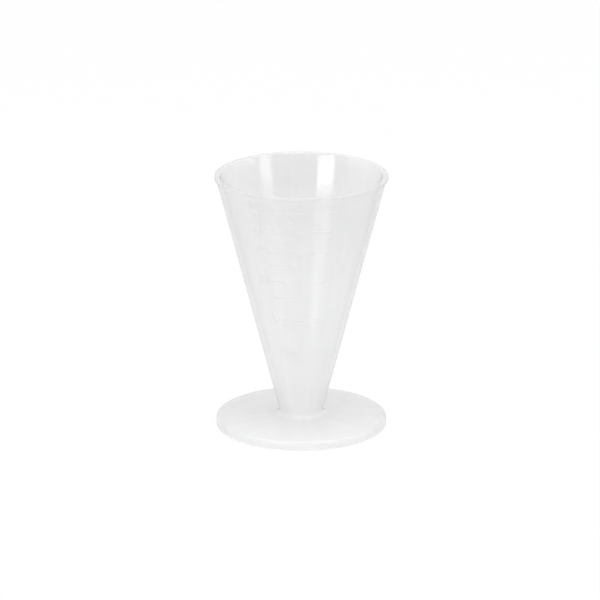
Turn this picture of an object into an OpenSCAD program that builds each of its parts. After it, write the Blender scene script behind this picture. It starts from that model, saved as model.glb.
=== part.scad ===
// Medicine measure: one thin-walled moulding, an upright cone that widens to the rim, on a round foot.
// Raised lines on the outside mark how much liquid stands in the cone.
// Millimetres, +Z up. The origin is the centre of the foot, on the plane that the foot stands on.
// The raised lines face -Y.

/* [Cone] */
// Height from the table to the rim
total_h = 78.4; // [66:0.2:110]
// Outside diameter over the bead at the rim
rim_d = 52; // [44:0.5:70]
// Outside diameter of the cone where it meets the foot
waist_d = 12.8; // [10:0.2:18]
// Thickness of the cone's wall, square to its surface
wall = 1.2; // [0.8:0.1:2]
// Thickness of the floor inside the cone
floor_t = 1.4; // [0.8:0.1:2]
// How far the inside floor lies above the top of the foot
floor_lift = 0.9; // [0.3:0.1:3]
// Radius where the inside wall turns into the inside floor
inside_round = 1.6; // [0.4:0.1:2.4]

/* [Rim bead] */
// How far the bead stands out from the cone
bead_proud = 0.25; // [0.1:0.05:0.5]
// Height of the bead
bead_h = 1.5; // [1.2:0.1:3]
// Radius of the rim's two top edges
lip_round = 0.45; // [0.2:0.05:0.55]

/* [Foot] */
// Diameter of the foot
foot_d = 51.6; // [40:0.5:70]
// Height of the foot at its edge
foot_edge_h = 2.6; // [2.2:0.1:5]
// How far the top of the foot rises from its edge to the cone
foot_rise = 1; // [0.2:0.1:3]
// Thickness of the foot's top plate
foot_wall = 1.2; // [0.8:0.1:1.6]
// Thickness of the ring that the foot stands on
skirt_t = 1.3; // [0.9:0.1:2.5]
// Radius of the foot's upper edge
foot_round = 0.9; // [0.4:0.1:1.4]
// Radius of the corner under the plate, inside the ring
under_round = 0.5; // [0.2:0.1:0.8]
// Radius of the ring's outer lower edge
ring_round = 0.25; // [0.1:0.05:0.5]
// Radius between the cone and the foot
root_round = 1.2; // [0.4:0.1:3]
// Diameter of the moulding gate's stub under the floor
gate_d = 2.6; // [1.5:0.1:4]
// Height of the gate's stub
gate_h = 0.4; // [0.2:0.1:0.8]

/* [Measuring lines] */
// Volume at the highest line, in millilitres
full_ml = 50; // [20:5:60]
// Volume between two lines, in millilitres
line_ml = 5; // [5:5:10]
// Every how many lines a long one comes
long_every = 2; // [2:1:5]
// How far a line stands out from the cone
line_proud = 0.15; // [0.1:0.05:0.5]
// Height of a line at its root
line_h = 0.6; // [0.4:0.1:1.2]
// Slope of a line's upper and lower face, as set-back from root to crest
line_bevel = 0.15; // [0.05:0.01:0.18]
// Angle from the middle of the front to the lines' left end
line_left = 28; // [10:1:60]
// Angle that a long line covers
long_sweep = 52; // [20:1:90]
// Angle that a short line covers
short_sweep = 22; // [10:1:40]
// Least distance from the highest line to the bead
line_margin = 1.5; // [0.5:0.1:4]

/* [Hidden] */
$fn = 96;
arc_steps = 6;
dome_steps = 8;
front = -90;
mm3_per_ml = 1000;
plastic = [0.93, 0.94, 0.94, 0.5];

rim_r = rim_d / 2;
foot_r = foot_d / 2;
waist_r = waist_d / 2;
foot_top_h = foot_edge_h + foot_rise;
taper = (rim_r - bead_proud - waist_r) / (total_h - foot_top_h);
lean = atan(taper);
wall_across = wall / cos(lean);

floor_z = foot_top_h + floor_lift;
ceiling_z = floor_z - floor_t;
floor_r = inner_r(floor_z);
skirt_r = foot_r - skirt_t;
pocket_r = floor_r - inside_round / 2;
line_sink = wall / 4;

// Radius of the cone's outside and inside at height z
function outer_r(z) = waist_r + taper * (z - foot_top_h);
function inner_r(z) = outer_r(z) - wall_across;

// Height of the foot's domed top and of its underside at radius r
function foot_top(r) = foot_edge_h + foot_rise * (1 - pow(r / foot_r, 2));
function foot_under(r) = foot_top(r) - foot_wall;

// Points of an arc about c from angle a0 to angle a1
function arc(c, r, a0, a1) =
    [for (i = [0:arc_steps]) let (a = a0 + (a1 - a0) * i / arc_steps) c + r * [cos(a), sin(a)]];

// Height of the liquid's surface: the inside is a frustum, whose volume grows with the cube of its radius
function fill_z(ml) =
    floor_z + (pow(pow(floor_r, 3) + 3 * taper * ml * mm3_per_ml / PI, 1 / 3) - floor_r) / taper;

// Gate stub, floor's underside, and the slope from there down to the plate's underside
function under_middle() = let (drop = ceiling_z - foot_under(pocket_r)) [
    [0, ceiling_z - gate_h],
    [gate_d / 2, ceiling_z - gate_h],
    [gate_d / 2, ceiling_z],
    [pocket_r, ceiling_z],
    [pocket_r + drop, foot_under(pocket_r + drop)]
];

// Underside of the plate and the inside of the ring, down to the table
function under_plate() = let (
    first_r = pocket_r + ceiling_z - foot_under(pocket_r),
    last_r = skirt_r - under_round
) concat(
    [for (i = [1:dome_steps - 1]) let (r = first_r + (last_r - first_r) * i / dome_steps) [r, foot_under(r)]],
    arc([last_r, foot_under(last_r) - under_round], under_round, 90, 0),
    [[skirt_r, 0]]
);

// Outside of the ring, the foot's rounded edge and its domed top, in to the cone's root
function foot_outside() = let (
    edge_r = foot_r - foot_round,
    edge_slope = atan(2 * foot_rise * edge_r / pow(foot_r, 2)),
    edge_z = foot_top(edge_r + foot_round * sin(edge_slope)) - foot_round * cos(edge_slope),
    start_r = edge_r + foot_round * sin(edge_slope),
    end_r = root_centre()[0]
) concat(
    arc([foot_r - ring_round, ring_round], ring_round, -90, 0),
    arc([edge_r, edge_z], foot_round, 0, 90 - edge_slope),
    [for (i = [1:dome_steps - 1]) let (r = start_r + (end_r - start_r) * i / dome_steps) [r, foot_top(r)]]
);

// Centre of the fillet between the foot and the cone
function root_centre() = let (z = foot_top(waist_r + root_round) + root_round)
    [outer_r(z) + root_round / cos(lean), z];

// The root's fillet, the cone's outside, the bead and the rim, over to the inside
function cone_outside() = let (
    bead_z = total_h - bead_h,
    step = rim_r - outer_r(bead_z),
    lip_z = total_h - lip_round
) concat(
    arc(root_centre(), root_round, 270, 180 - lean),
    [[outer_r(bead_z), bead_z], [rim_r, bead_z + step]],
    arc([rim_r - lip_round, lip_z], lip_round, 0, 90),
    arc([inner_r(lip_z) + lip_round / cos(lean), lip_z], lip_round, 90, 180 - lean)
);

// The rounded corner at the bottom of the inside, and the floor
function cone_inside() = let (z = floor_z + inside_round) concat(
    arc([inner_r(z) - inside_round / cos(lean), z], inside_round, -lean, -90),
    [[0, floor_z]]
);

// The wall all round, from its section on one side of the axis
module shell() {
    rotate_extrude()
        polygon(concat(under_middle(), under_plate(), foot_outside(), cone_outside(), cone_inside()));
}

// One raised line at height z, from the lines' left end
module line(z, sweep) {
    root = line_h / 2;
    crest = root - line_bevel;
    rotate([0, 0, front - line_left])
        rotate_extrude(angle = sweep)
            polygon([
                [outer_r(z - root) - line_sink, z - root],
                [outer_r(z - root), z - root],
                [outer_r(z - crest) + line_proud, z - crest],
                [outer_r(z + crest) + line_proud, z + crest],
                [outer_r(z + root), z + root],
                [outer_r(z + root) - line_sink, z + root]
            ]);
}

// The lines, each at the height where its volume fills the cone
module scale() {
    for (i = [1:floor(full_ml / line_ml)])
        if (fill_z(i * line_ml) < total_h - bead_h - line_margin)
            line(fill_z(i * line_ml), i % long_every == 0 ? long_sweep : short_sweep);
}

module cup() {
    color(plastic) union() {
        shell();
        scale();
    }
}

cup();
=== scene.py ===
"""Milky plastic medicine measure: a cone on a round foot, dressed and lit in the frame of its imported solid."""

import logging
import math
from dataclasses import dataclass, field
from enum import Enum

import bpy
import numpy as np
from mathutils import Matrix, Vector


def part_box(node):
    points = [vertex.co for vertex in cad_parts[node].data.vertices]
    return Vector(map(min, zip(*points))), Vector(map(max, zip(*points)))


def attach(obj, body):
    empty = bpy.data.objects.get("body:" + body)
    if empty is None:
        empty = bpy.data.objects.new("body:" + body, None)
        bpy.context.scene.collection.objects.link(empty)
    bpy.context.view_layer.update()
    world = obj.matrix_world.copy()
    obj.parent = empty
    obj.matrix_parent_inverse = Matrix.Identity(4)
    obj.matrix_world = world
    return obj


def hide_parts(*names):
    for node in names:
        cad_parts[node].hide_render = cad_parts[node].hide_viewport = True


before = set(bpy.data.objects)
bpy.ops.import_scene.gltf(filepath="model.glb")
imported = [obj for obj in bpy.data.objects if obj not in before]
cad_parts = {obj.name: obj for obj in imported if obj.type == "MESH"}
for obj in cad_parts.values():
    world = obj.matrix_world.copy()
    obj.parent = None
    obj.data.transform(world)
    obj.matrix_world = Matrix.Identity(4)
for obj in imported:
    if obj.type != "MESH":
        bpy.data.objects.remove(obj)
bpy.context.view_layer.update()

LOG = logging.getLogger("medicine_measure")
MM = 0.001
Point = tuple[float, float]
Colour = tuple[float, float, float]
WHITE: Colour = (1.0, 1.0, 1.0)


class Signal:
    """A shader value that takes part in sums, so that a formula reads as one."""

    def __init__(self, nodes: "NodeTree", socket: bpy.types.NodeSocket) -> None:
        """Wrap one output socket.

        Args:
            nodes: The tree that the socket belongs to.
            socket: The output socket.
        """
        self.nodes = nodes
        self.socket = socket

    def _math(self, operation: str, first: "Signal | float", second: "Signal | float") -> "Signal":
        """Add a Math node for one operation on two values."""
        return self.nodes.add("ShaderNodeMath", {"operation": operation}, {0: first, 1: second})

    def __add__(self, other: "Signal | float") -> "Signal":
        """Sum."""
        return self._math("ADD", self, other)

    def __sub__(self, other: "Signal | float") -> "Signal":
        """Difference."""
        return self._math("SUBTRACT", self, other)

    def __rsub__(self, other: float) -> "Signal":
        """Difference with the value on the right."""
        return self._math("SUBTRACT", other, self)

    def __mul__(self, other: "Signal | float") -> "Signal":
        """Product."""
        return self._math("MULTIPLY", self, other)

    def __pow__(self, other: float) -> "Signal":
        """Power."""
        return self._math("POWER", self, other)

    def largest(self, other: "Signal | float") -> "Signal":
        """The larger of the two."""
        return self._math("MAXIMUM", self, other)

    __radd__ = __add__
    __rmul__ = __mul__


class NodeTree:
    """A node tree that is filled through one method."""

    def __init__(self, tree: bpy.types.NodeTree) -> None:
        """Empty a tree.

        Args:
            tree: The material's or the world's tree.
        """
        self.tree = tree
        tree.nodes.clear()

    def add(
        self, kind: str, settings: dict | None = None, sockets: dict | None = None, out: str | int = 0,
    ) -> Signal:
        """Add a node.

        Args:
            kind: The node's type.
            settings: Attributes that are set before the sockets.
            sockets: Values or links by socket name or number.
            out: The output that the caller goes on with.

        Returns:
            That output, wrapped.
        """
        node = self.tree.nodes.new(kind)
        for name, value in (settings or {}).items():
            setattr(node, name, value)
        for key, value in (sockets or {}).items():
            if isinstance(value, Signal):
                self.tree.links.new(value.socket, node.inputs[key])
            else:
                node.inputs[key].default_value = value
        return Signal(self, node.outputs[out] if len(node.outputs) else None)


@dataclass(frozen=True)
class MilkyPlastic:
    """Thin see-through plastic with a faint cloud in it, glossy as it leaves the mould.

    Each face of a wall hides a share of what lies behind it, and lets the rest through hardly dimmed. That
    share is the cloudiness. It is least in the upper wall and greatest in the foot, and it rises where the
    face is seen edge on, because the way through the wall is longer there. The cloud throws most of its
    light back and passes the forward share on, scattered. Its white carries painted light and shade: it is
    painted lighter at the foot and a little grey towards the rim. Over it lies the gloss of a smooth face,
    weak from the front and full at a grazing angle.
    """

    # Painted light and shade: the white is painted greyer at the rim and lighter at the foot, blended over the
    # painted shade height.
    rim_colour: Colour = (0.873, 0.875, 0.875)
    foot_colour: Colour = (0.988, 0.99, 0.99)
    glow_colour: Colour = (0.948, 0.95, 0.95)
    clear_colour: Colour = (0.98, 0.98, 0.98)
    shade_height: float = 0.0784
    forward: float = 0.4
    rim_cloudiness: float = 0.29
    foot_cloudiness: float = 0.5
    cloud_low: float = 0.008
    cloud_high: float = 0.04
    edge_cloudiness: float = 0.15
    edge_power: float = 1.8
    cloud_contrast: float = 0.06
    cloud_scale: float = 55.0
    cloud_detail: float = 3.0
    flow_contrast: float = 0.05
    flow_scale: float = 5.0
    flow_detail: float = 4.0
    flow_rise: float = 6.0
    roughness: float = 0.09
    roughness_change: float = 0.06
    grain_scale: float = 900.0
    grain_detail: float = 2.0
    grain_depth: float = 0.00001
    mirror: float = 0.04
    mirror_power: float = 5.0

    def material(self, name: str) -> bpy.types.Material:
        """Build the finish.

        Args:
            name: The material's name.

        Returns:
            The material.
        """
        material = bpy.data.materials.new(name)
        material.use_nodes = True
        nodes = NodeTree(material.node_tree)
        place = nodes.add("ShaderNodeTexCoord", out="Object")
        cloud = noise(nodes, place, self.cloud_scale, self.cloud_detail)
        flow = self._flow_lines(nodes, place)
        grain = noise(nodes, place, self.grain_scale, self.grain_detail)
        facing = nodes.add("ShaderNodeLayerWeight", {}, {"Blend": 0.5}, "Facing")
        uneven = (cloud - 0.5) * self.cloud_contrast + (flow - 0.5) * self.flow_contrast
        height = nodes.add("ShaderNodeSeparateXYZ", {}, {0: place}, "Z")
        thick = nodes.add("ShaderNodeMapRange", {"interpolation_type": "SMOOTHSTEP"}, {
            "Value": height, "From Min": self.cloud_low, "From Max": self.cloud_high,
            "To Min": self.foot_cloudiness, "To Max": self.rim_cloudiness,
        })
        alpha = thick + facing ** self.edge_power * self.edge_cloudiness + uneven
        roughness = self.roughness + (cloud - 0.5) * self.roughness_change
        # Painted light and shade: the base colour runs by height from the lighter foot to the greyer rim.
        colour = nodes.add("ShaderNodeMix", {"data_type": "RGBA"}, {
            0: height * (1.0 / self.shade_height), 6: (*self.foot_colour, 1.0), 7: (*self.rim_colour, 1.0),
        }, 2)
        bump = nodes.add("ShaderNodeBump", {}, {"Height": grain, "Distance": self.grain_depth}, "Normal")
        back = nodes.add("ShaderNodeBsdfPrincipled", {}, {
            "Base Color": colour, "Roughness": roughness, "Normal": bump, "Specular IOR Level": 0.0,
        })
        glow = nodes.add("ShaderNodeBsdfTranslucent", {}, {"Color": (*self.glow_colour, 1.0), "Normal": bump})
        milk = nodes.add("ShaderNodeMixShader", {}, {0: self.forward, 1: back, 2: glow})
        clear = nodes.add("ShaderNodeBsdfTransparent", {}, {"Color": (*self.clear_colour, 1.0)})
        haze = nodes.add("ShaderNodeMixShader", {}, {0: alpha, 1: clear, 2: milk})
        gloss = nodes.add("ShaderNodeBsdfAnisotropic", {}, {"Roughness": self.roughness, "Normal": bump})
        mirror = self.mirror + facing ** self.mirror_power * (1.0 - self.mirror)
        shader = nodes.add("ShaderNodeMixShader", {}, {0: mirror, 1: haze, 2: gloss})
        nodes.add("ShaderNodeOutputMaterial", {}, {"Surface": shader})
        return material

    def _flow_lines(self, nodes: NodeTree, place: Signal) -> Signal:
        """Faint streaks up the wall: a noise over the direction from the axis that hardly changes with height."""
        flat = nodes.add("ShaderNodeVectorMath", {"operation": "MULTIPLY"}, {0: place, 1: (1.0, 1.0, 0.0)})
        around = nodes.add("ShaderNodeVectorMath", {"operation": "NORMALIZE"}, {0: flat})
        along = nodes.add("ShaderNodeVectorMath", {"operation": "MULTIPLY"}, {
            0: place, 1: (0.0, 0.0, self.flow_rise),
        })
        spot = nodes.add("ShaderNodeVectorMath", {"operation": "ADD"}, {0: around, 1: along})
        return noise(nodes, spot, self.flow_scale, self.flow_detail)


def noise(nodes: NodeTree, place: Signal, scale: float, detail: float) -> Signal:
    """A noise about one half over a place."""
    return nodes.add("ShaderNodeTexNoise", {}, {"Vector": place, "Scale": scale, "Detail": detail}, "Fac")


def arc(centre: Point, radius: float, start: float, end: float, steps: int = 8) -> np.ndarray:
    """Points on a circle: centre plus radius times (cosine, sine) of evenly spaced angles.

    Args:
        centre: Centre of the circle, as (r, z).
        radius: Radius of the circle.
        start: First angle, in degrees.
        end: Last angle, in degrees.
        steps: Number of equal steps between them.

    Returns:
        An array of (steps + 1, 2) points.
    """
    angle = np.radians(np.linspace(start, end, steps + 1))
    return np.asarray(centre) + radius * np.stack([np.cos(angle), np.sin(angle)], axis=1)


class Digit(Enum):
    """A plain digit, whose strokes are polylines of (across, up) in a box one unit tall."""

    ZERO = "0"
    ONE = "1"
    TWO = "2"
    THREE = "3"
    FOUR = "4"
    FIVE = "5"

    def strokes(self) -> list[np.ndarray]:
        """Give the digit's centre lines."""
        bowl = 16
        if self is Digit.ZERO:
            ring = arc((0.0, 0.0), 1.0, 0.0, 360.0, 2 * bowl) * (0.29, 0.5) + (0.3, 0.5)
            return [ring]
        if self is Digit.ONE:
            return [np.array([(0.12, 0.76), (0.36, 1.0), (0.36, 0.0)])]
        if self is Digit.TWO:
            return [np.concatenate([arc((0.3, 0.71), 0.29, 165.0, -38.0, bowl), [(0.02, 0.0), (0.6, 0.0)]])]
        if self is Digit.THREE:
            return [arc((0.28, 0.755), 0.245, 150.0, -90.0, bowl), arc((0.28, 0.26), 0.26, 90.0, -150.0, bowl)]
        if self is Digit.FOUR:
            return [np.array([(0.46, 0.0), (0.46, 1.0), (0.0, 0.3), (0.62, 0.3)])]
        flag = [(0.54, 1.0), (0.12, 1.0), (0.08, 0.56)]
        return [np.concatenate([flag, arc((0.27, 0.31), 0.31, 125.0, -145.0, bowl)])]


@dataclass(frozen=True)
class ConeSizes:
    """Sizes of the cone and its rim, in metres."""

    total_h: float
    rim_r: float
    waist_r: float = 6.4 * MM
    wall: float = 1.2 * MM
    floor_t: float = 1.4 * MM
    floor_lift: float = 0.9 * MM
    inside_round: float = 1.6 * MM
    bead_proud: float = 0.25 * MM
    bead_h: float = 1.5 * MM
    lip_round: float = 0.45 * MM


@dataclass(frozen=True)
class FootSizes:
    """Sizes of the foot, in metres."""

    radius: float = 25.8 * MM
    edge_h: float = 2.6 * MM
    rise: float = 1.0 * MM
    plate: float = 1.2 * MM
    skirt_t: float = 1.3 * MM
    edge_round: float = 0.9 * MM
    under_round: float = 0.5 * MM
    ring_round: float = 0.25 * MM
    root_round: float = 1.2 * MM
    gate_r: float = 1.3 * MM
    gate_h: float = 0.4 * MM

    def top(self, r: np.ndarray | float) -> np.ndarray | float:
        """Height of the domed top at radius r: the edge's, plus the rise times one minus (r / radius) squared."""
        return self.edge_h + self.rise * (1.0 - (r / self.radius) ** 2)

    def under(self, r: np.ndarray | float) -> np.ndarray | float:
        """Height of the plate's underside at radius r."""
        return self.top(r) - self.plate


@dataclass(frozen=True)
class ScaleSizes:
    """Sizes of the raised lines and numbers, in metres, degrees and millilitres."""

    full_ml: int = 50
    line_ml: int = 5
    long_every: int = 2
    proud: float = 0.15 * MM
    height: float = 0.6 * MM
    bevel: float = 0.15 * MM
    left: float = -28.0
    long_sweep: float = 52.0
    short_sweep: float = 22.0
    digit_h: float = 2.5 * MM
    digit_w: float = 1.5 * MM
    digit_step: float = 2.1 * MM
    digit_gap: float = 1.1 * MM
    stroke_w: float = 0.46 * MM
    stroke_proud: float = 0.14 * MM


@dataclass(frozen=True)
class Line:
    """One raised line: its volume in millilitres, its height, its angle, and if a number stands by it."""

    volume: int
    z: float
    sweep: float
    numbered: bool


@dataclass
class Measure:
    """The measure's one moulding: its section turned round the axis, with raised lines and numbers in front."""

    cone: ConeSizes
    foot: FootSizes = field(default_factory=FootSizes)
    scale: ScaleSizes = field(default_factory=ScaleSizes)
    finish: MilkyPlastic = field(default_factory=MilkyPlastic)
    turn_step: float = 2.5
    number_step: float = 0.3
    number_arc: tuple[float, float] = (-24.0, -2.0)
    end_columns: tuple[float, ...] = (-0.24, -0.08, 0.08, 0.24)
    number_row: float = 0.12 * MM
    wall_row: float = 3.0 * MM
    guard: float = 0.05 * MM
    plate_rows: int = 12
    dome_rows: int = 16
    inside_rows: int = 26
    ring_steps: int = 4
    crease: float = 50.0

    def __post_init__(self) -> None:
        """Work out the sizes that follow from the others."""
        cone, foot = self.cone, self.foot
        self.foot_top_h = foot.edge_h + foot.rise
        self.taper = (cone.rim_r - cone.bead_proud - cone.waist_r) / (cone.total_h - self.foot_top_h)
        self.lean = math.atan(self.taper)
        self.floor_z = self.foot_top_h + cone.floor_lift
        self.floor_r = self.inner_r(self.floor_z)
        self.ceiling_z = self.floor_z - cone.floor_t
        self.pocket_r = self.floor_r - cone.inside_round / 2

    def outer_r(self, z: np.ndarray | float) -> np.ndarray | float:
        """Radius of the cone's outside at height z."""
        return self.cone.waist_r + self.taper * (z - self.foot_top_h)

    def inner_r(self, z: np.ndarray | float) -> np.ndarray | float:
        """Radius of the cone's inside at height z."""
        return self.outer_r(z) - self.cone.wall / math.cos(self.lean)

    def fill_z(self, millilitres: float) -> float:
        """Height that a volume fills the cone to.

        The inside is a frustum, so the cube of the surface's radius is the cube of the floor's radius
        plus three times the taper times the volume over pi.
        """
        cube = self.floor_r ** 3 + 3.0 * self.taper * millilitres * 1e-6 / math.pi
        return self.floor_z + (cube ** (1 / 3) - self.floor_r) / self.taper

    def underside(self) -> np.ndarray:
        """Section under the floor and the plate, from the axis out to the ring's foot."""
        foot = self.foot
        drop = self.ceiling_z - foot.under(self.pocket_r)
        last = self.foot.radius - foot.skirt_t - foot.under_round
        plate = np.linspace(self.pocket_r + drop, last, self.plate_rows)[:-1]
        return np.concatenate([
            [(0.0, self.ceiling_z - foot.gate_h), (foot.gate_r, self.ceiling_z - foot.gate_h),
             (foot.gate_r, self.ceiling_z), (self.pocket_r, self.ceiling_z)],
            np.stack([plate, foot.under(plate)], axis=1),
            arc((last, foot.under(last) - foot.under_round), foot.under_round, 90.0, 0.0),
            [(last + foot.under_round, 0.0)],
        ])

    def foot_outside(self) -> np.ndarray:
        """Section of the ring's outside, the rounded edge, the domed top and the fillet up to the cone."""
        foot = self.foot
        edge_r = foot.radius - foot.edge_round
        slope = math.atan(2.0 * foot.rise * edge_r / foot.radius ** 2)
        start_r = edge_r + foot.edge_round * math.sin(slope)
        edge_z = foot.top(start_r) - foot.edge_round * math.cos(slope)
        root_z = foot.top(self.cone.waist_r + foot.root_round) + foot.root_round
        root_r = self.outer_r(root_z) + foot.root_round / math.cos(self.lean)
        dome = np.linspace(start_r, root_r, self.dome_rows)[1:-1]
        return np.concatenate([
            arc((foot.radius - foot.ring_round, foot.ring_round), foot.ring_round, -90.0, 0.0, self.ring_steps),
            arc((edge_r, edge_z), foot.edge_round, 0.0, 90.0 - math.degrees(slope)),
            np.stack([dome, foot.top(dome)], axis=1),
            arc((root_r, root_z), foot.root_round, 270.0, 180.0 - math.degrees(self.lean)),
        ])

    def lines(self) -> list[Line]:
        """The raised lines, each at the height that its volume fills the cone to."""
        scale = self.scale
        made = []
        for volume in range(scale.line_ml, scale.full_ml + 1, scale.line_ml):
            long = volume // scale.line_ml % scale.long_every == 0
            made.append(Line(volume, self.fill_z(volume), scale.long_sweep if long else scale.short_sweep, long))
        return made

    def wall_outside(self, start_z: float) -> np.ndarray:
        """Section of the cone's outside up to the bead, with rows where lines and numbers need them.

        Args:
            start_z: Height that the section starts above.

        Returns:
            An array of (rows, 2) points.
        """
        scale = self.scale
        root, crest = scale.height / 2, scale.height / 2 - scale.bevel
        bead_z = self.cone.total_h - self.cone.bead_h
        guard = root + self.guard
        sides = (-guard, -root, -crest, crest, root, guard)
        edges = [line.z + side for line in self.lines() for side in sides]
        reach = (scale.digit_h + scale.stroke_w) / 2
        fine = [
            np.arange(line.z - reach, line.z + reach, self.number_row) for line in self.lines() if line.numbered
        ]
        rows = np.concatenate([np.arange(start_z, bead_z, self.wall_row), edges, *fine])
        z = np.unique(np.round(rows[(rows > start_z) & (rows < bead_z)], 6))
        return np.stack([self.outer_r(z), z], axis=1)

    def rim_and_inside(self) -> np.ndarray:
        """Section of the bead, the rim's rounded top, the inside wall and the floor, in to the axis."""
        cone = self.cone
        lean = math.degrees(self.lean)
        bead_z = cone.total_h - cone.bead_h
        step = cone.rim_r - self.outer_r(bead_z)
        lip_z = cone.total_h - cone.lip_round
        low_z = self.floor_z + cone.inside_round
        wall_z = np.linspace(lip_z, low_z, self.inside_rows)[1:-1]
        lip_r = self.inner_r(lip_z) + cone.lip_round / math.cos(self.lean)
        low_r = self.inner_r(low_z) - cone.inside_round / math.cos(self.lean)
        return np.concatenate([
            [(self.outer_r(bead_z), bead_z), (cone.rim_r, bead_z + step)],
            arc((cone.rim_r - cone.lip_round, lip_z), cone.lip_round, 0.0, 90.0),
            arc((lip_r, lip_z), cone.lip_round, 90.0, 180.0 - lean),
            np.stack([self.inner_r(wall_z), wall_z], axis=1),
            arc((low_r, low_z), cone.inside_round, -lean, -90.0),
            [(0.0, self.floor_z)],
        ])

    def relief(self, z: np.ndarray, angle: np.ndarray) -> np.ndarray:
        """How far the surface stands out from the cone, over a grid of heights and angles.

        A line is a trapezium over the height, times one between its two end angles. A number's height over
        its strokes falls from the middle of the stroke to its edge as half a cosine wave of the distance.

        Args:
            z: Height of each row.
            angle: Angle of each column from the middle of the front, in degrees.

        Returns:
            An array of rows by columns, in metres.
        """
        scale = self.scale
        out = np.zeros((z.size, angle.size))
        for line in self.lines():
            over = np.clip((scale.height / 2 - np.abs(z - line.z)) / scale.bevel, 0.0, 1.0)
            along = (angle > scale.left) & (angle < scale.left + line.sweep)
            out += scale.proud * over[:, None] * along[None, :]
            if line.numbered:
                out += self._number(z, angle, line)
        return out

    def _number(self, z: np.ndarray, angle: np.ndarray, line: Line) -> np.ndarray:
        """Height of the number beside one long line, over the same grid."""
        scale = self.scale
        right = np.radians(angle - scale.left)[None, :] * self.outer_r(z)[:, None] + scale.digit_gap
        up = (z - line.z)[:, None] / math.cos(self.lean) + scale.digit_h / 2
        right, up = np.broadcast_arrays(right, up)
        nearest = np.full(right.shape, np.inf)
        for place, letter in enumerate(reversed(str(line.volume))):
            left_edge = -place * scale.digit_step - scale.digit_w
            for stroke in Digit(letter).strokes():
                path = stroke * scale.digit_h + (left_edge, 0.0)
                nearest = np.minimum(nearest, distance_to_line(right, up, path))
        share = np.clip(nearest / (scale.stroke_w / 2), 0.0, 1.0)
        return scale.stroke_proud * (0.5 + 0.5 * np.cos(np.pi * share))

    def columns(self) -> np.ndarray:
        """Angles of the columns: even steps, with finer ones over the numbers and at each line's ends."""
        scale = self.scale
        even = np.arange(-180.0, 180.0, self.turn_step)
        fine = np.arange(scale.left + self.number_arc[0], scale.left + self.number_arc[1], self.number_step)
        ends = [scale.left, scale.left + scale.long_sweep, scale.left + scale.short_sweep]
        close = [end + side for end in ends for side in self.end_columns]
        return np.unique(np.round(np.concatenate([even, fine, close]), 3))

    def mesh(self) -> bpy.types.Object:
        """Turn the section round the axis.

        Row i and column j give the point (R sin a, -R cos a, z), where R is the section's radius plus the
        relief. The first and the last row are single points on the axis.

        Returns:
            The moulding as an object.
        """
        outside = self.foot_outside()
        low = np.concatenate([self.underside(), outside])
        wall = self.wall_outside(outside[-1, 1])
        section = np.concatenate([low, wall, self.rim_and_inside()])
        angle = self.columns()
        radius = np.repeat(section[1:-1, :1], angle.size, axis=1)
        height = np.repeat(section[1:-1, 1:], angle.size, axis=1)
        first = len(low) - 1
        radius[first:first + len(wall)] += self.relief(wall[:, 1], angle)
        turn = np.radians(angle)[None, :]
        grid = np.stack([radius * np.sin(turn), -radius * np.cos(turn), height], axis=2).reshape(-1, 3)
        points = np.concatenate([grid, [(0.0, 0.0, section[0, 1]), (0.0, 0.0, section[-1, 1])]])
        return mesh_object("measure", points, turned_faces(len(section) - 2, angle.size), self.crease)

    def build(self) -> bpy.types.Object:
        """Make the moulding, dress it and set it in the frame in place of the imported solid.

        Returns:
            The moulding.
        """
        moulding = self.mesh()
        moulding.data.materials.append(self.finish.material("milky_plastic"))
        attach(moulding, "root")
        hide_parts("cup")
        LOG.info("measure: %d points, %d faces", len(moulding.data.vertices), len(moulding.data.polygons))
        return moulding


def distance_to_line(x: np.ndarray, y: np.ndarray, line: np.ndarray) -> np.ndarray:
    """Distance from each grid point to a polyline: the least distance to the nearest point of any segment.

    Args:
        x: First coordinate of the points.
        y: Second coordinate of the points.
        line: The polyline's corners, as (n, 2).

    Returns:
        An array of the points' shape.
    """
    start, step = line[:-1], np.diff(line, axis=0)
    away = np.stack([x, y], axis=-1)[..., None, :] - start
    share = np.clip((away * step).sum(-1) / (step ** 2).sum(-1), 0.0, 1.0)
    return np.linalg.norm(away - share[..., None] * step, axis=-1).min(-1)


def turned_faces(rows: int, columns: int) -> list[tuple[int, ...]]:
    """Faces of a turned grid that is closed round the axis and at both poles, all facing outwards.

    Args:
        rows: Number of rows between the poles.
        columns: Number of columns.

    Returns:
        Quads between rows, then the triangles of the two poles.
    """
    here = np.arange(columns)
    nxt = (here + 1) % columns
    base = np.arange(rows - 1)[:, None] * columns
    corners = [base + here, base + nxt, base + columns + nxt, base + columns + here]
    quads = np.stack(corners, axis=2).reshape(-1, 4)
    last = (rows - 1) * columns
    first_pole = np.stack([np.full(columns, rows * columns), nxt, here], axis=1)
    last_pole = np.stack([np.full(columns, rows * columns + 1), last + here, last + nxt], axis=1)
    return [*map(tuple, quads.tolist()), *map(tuple, first_pole.tolist()), *map(tuple, last_pole.tolist())]


def mesh_object(
    name: str, points: np.ndarray, faces: list[tuple[int, ...]], crease: float | None = None,
) -> bpy.types.Object:
    """Put points and faces into a new object at the origin.

    Args:
        name: The object's name.
        points: Corners, as (n, 3).
        faces: Corner numbers of each face.
        crease: Angle in degrees past which an edge stays sharp, or None for flat faces.

    Returns:
        The object.
    """
    mesh = bpy.data.meshes.new(name)
    mesh.from_pydata(points.tolist(), [], faces)
    if crease is not None:
        mesh.shade_smooth()
        mesh.set_sharp_from_angle(angle=math.radians(crease))
    mesh.update()
    made = bpy.data.objects.new(name, mesh)
    bpy.context.scene.collection.objects.link(made)
    return made


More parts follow.
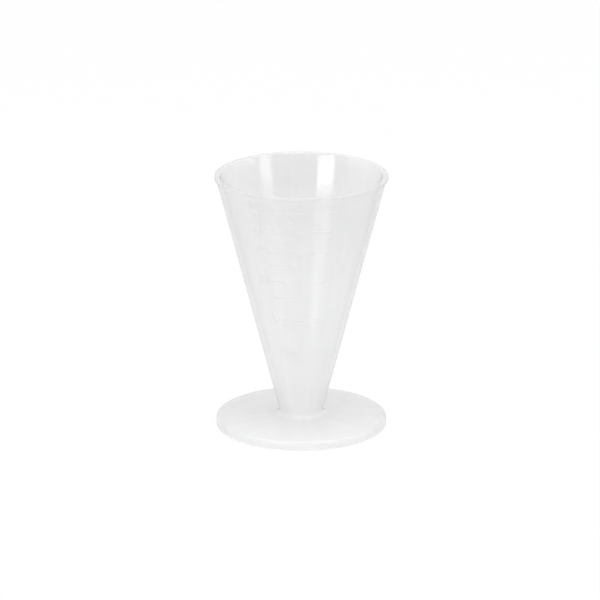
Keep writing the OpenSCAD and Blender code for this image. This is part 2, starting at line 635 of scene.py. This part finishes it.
@dataclass(frozen=True)
class Softbox:
    """A soft lamp, placed by its direction from the measure."""

    name: str
    azimuth: float
    elevation: float
    distance: float
    width: float
    height: float
    radiance: float

    def build(self, target: Vector) -> None:
        """Make the lamp and point it at the target.

        Args:
            target: The point that it faces.
        """
        lamp = bpy.data.lights.new(self.name, "AREA")
        lamp.shape = "RECTANGLE"
        lamp.size, lamp.size_y = self.width, self.height
        lamp.energy = self.radiance * math.pi * self.width * self.height
        holder = bpy.data.objects.new(self.name, lamp)
        away = direction(self.azimuth, self.elevation)
        holder.location = target + away * self.distance
        holder.rotation_euler = away.to_track_quat("Z", "Y").to_euler()
        holder.visible_camera = False
        bpy.context.scene.collection.objects.link(holder)


def direction(azimuth: float, elevation: float) -> Vector:
    """Unit vector towards an azimuth, from the front to the right, and an elevation, both in degrees."""
    a, e = math.radians(azimuth), math.radians(elevation)
    return Vector((math.sin(a) * math.cos(e), -math.cos(a) * math.cos(e), math.sin(e)))


@dataclass(frozen=True)
class Studio:
    """Floor, world, lamps and camera."""

    camera_distance: float = 1.0978
    camera_height: float = 0.3913
    camera_pitch: float = 17.79
    camera_side: float = -0.0004
    focal_pixels: float = 3820.4
    frame_pixels: float = 600.0
    sensor: float = 36.0
    floor_size: float = 12.0
    floor_colour: Colour = (0.9, 0.9, 0.9)
    floor_shadow: float = 0.04
    room: float = 0.15
    room_turn: float = 0.3
    clear_bounces: int = 32
    bounces: int = 16
    diffuse_bounces: int = 8
    aim_height: float = 0.04
    lamps: tuple[Softbox, ...] = (
        Softbox("left_box", -37.0, 12.8, 0.7, 0.3, 0.18, 5.4),
        Softbox("right_box", 54.6, 13.4, 0.7, 0.21, 0.2, 3.4),
        Softbox("low_box", 0.0, 1.8, 1.3, 1.6, 0.15, 7.3),
        Softbox("overhead", 0.0, 89.0, 1.2, 1.6, 1.6, 2.65),
        Softbox("side_left", -90.0, 25.0, 1.2, 0.8, 0.6, 1.4),
        Softbox("side_right", 90.0, 25.0, 1.2, 0.8, 0.6, 2.0),
    )

    def camera(self) -> None:
        """Set the camera up from the view fitted to the outline."""
        data = bpy.data.cameras.new("camera")
        data.sensor_width = self.sensor
        data.lens = self.focal_pixels / self.frame_pixels * self.sensor
        camera = bpy.data.objects.new("camera", data)
        camera.location = (self.camera_side, -self.camera_distance, self.camera_height)
        camera.rotation_euler = (math.radians(90.0 - self.camera_pitch), 0.0, 0.0)
        bpy.context.scene.collection.objects.link(camera)
        bpy.context.scene.camera = camera

    def seen_directly(self, nodes: NodeTree, mirrored: Signal | float = 1.0) -> Signal:
        """One for rays from the camera, a given share for those from a reflection or through glass, or nought.

        A ray that milky plastic has scattered through itself counts as both a transmission ray and a diffuse
        ray. It gets nought, so that the white is no light on the measure.

        Args:
            nodes: The tree of the floor's or the world's shader.
            mirrored: The share for reflections and glass.

        Returns:
            The share of white.
        """
        camera, glossy, through, diffuse = (
            nodes.add("ShaderNodeLightPath", out=f"Is {kind} Ray")
            for kind in ("Camera", "Glossy", "Transmission", "Diffuse")
        )
        return camera.largest(glossy.largest(through) * mirrored) * (1.0 - diffuse)

    def world(self) -> None:
        """A background that is seen as white and gives no light.

        Reflections show the room behind the camera darker than the white behind the measure.
        """
        world = bpy.data.worlds.new("studio")
        bpy.context.scene.world = world
        world.use_nodes = True
        nodes = NodeTree(world.node_tree)
        way = nodes.add("ShaderNodeSeparateXYZ", {}, {0: nodes.add("ShaderNodeTexCoord", out="Generated")}, "Y")
        behind = nodes.add("ShaderNodeMapRange", {"interpolation_type": "SMOOTHSTEP"}, {
            "Value": way, "From Min": -self.room_turn, "From Max": self.room_turn,
            "To Min": self.room, "To Max": 1.0,
        })
        background = nodes.add("ShaderNodeBackground", {}, {
            "Color": (*WHITE, 1.0), "Strength": self.seen_directly(nodes, behind),
        })
        nodes.add("ShaderNodeOutputWorld", {}, {"Surface": background})
        world.cycles.sampling_method = "NONE"

    def floor(self) -> None:
        """A large pale floor that is seen as white but for a faint shadow."""
        half = self.floor_size / 2
        corners = np.array([(-half, -half, 0.0), (half, -half, 0.0), (half, half, 0.0), (-half, half, 0.0)])
        plane = mesh_object("floor", corners, [(0, 1, 2, 3)])
        material = bpy.data.materials.new("pale_floor")
        material.use_nodes = True
        nodes = NodeTree(material.node_tree)
        matt = nodes.add("ShaderNodeBsdfDiffuse", {}, {"Color": (*self.floor_colour, 1.0)})
        white = nodes.add("ShaderNodeEmission", {}, {"Color": (*WHITE, 1.0), "Strength": 1.0})
        share = self.seen_directly(nodes) * (1.0 - self.floor_shadow)
        mixed = nodes.add("ShaderNodeMixShader", {}, {0: share, 1: matt, 2: white})
        nodes.add("ShaderNodeOutputMaterial", {}, {"Surface": mixed})
        material.cycles.emission_sampling = "NONE"
        plane.data.materials.append(material)

    def build(self) -> None:
        """Set up the whole studio."""
        self.camera()
        self.world()
        self.floor()
        for lamp in self.lamps:
            lamp.build(Vector((0.0, 0.0, self.aim_height)))
        scene = bpy.context.scene
        scene.view_settings.view_transform = "Standard"
        scene.cycles.transparent_max_bounces = self.clear_bounces
        scene.cycles.max_bounces = self.bounces
        scene.cycles.diffuse_bounces = self.diffuse_bounces
        LOG.info("studio: %d lamps", len(self.lamps))


def main() -> None:
    """Build the measure and its studio."""
    logging.basicConfig(level=logging.INFO, format="%(name)s %(message)s")
    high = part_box("cup")[1]
    Measure(ConeSizes(total_h=high.z, rim_r=high.x)).build()
    Studio().build()


if __name__ == "__main__":
    main()
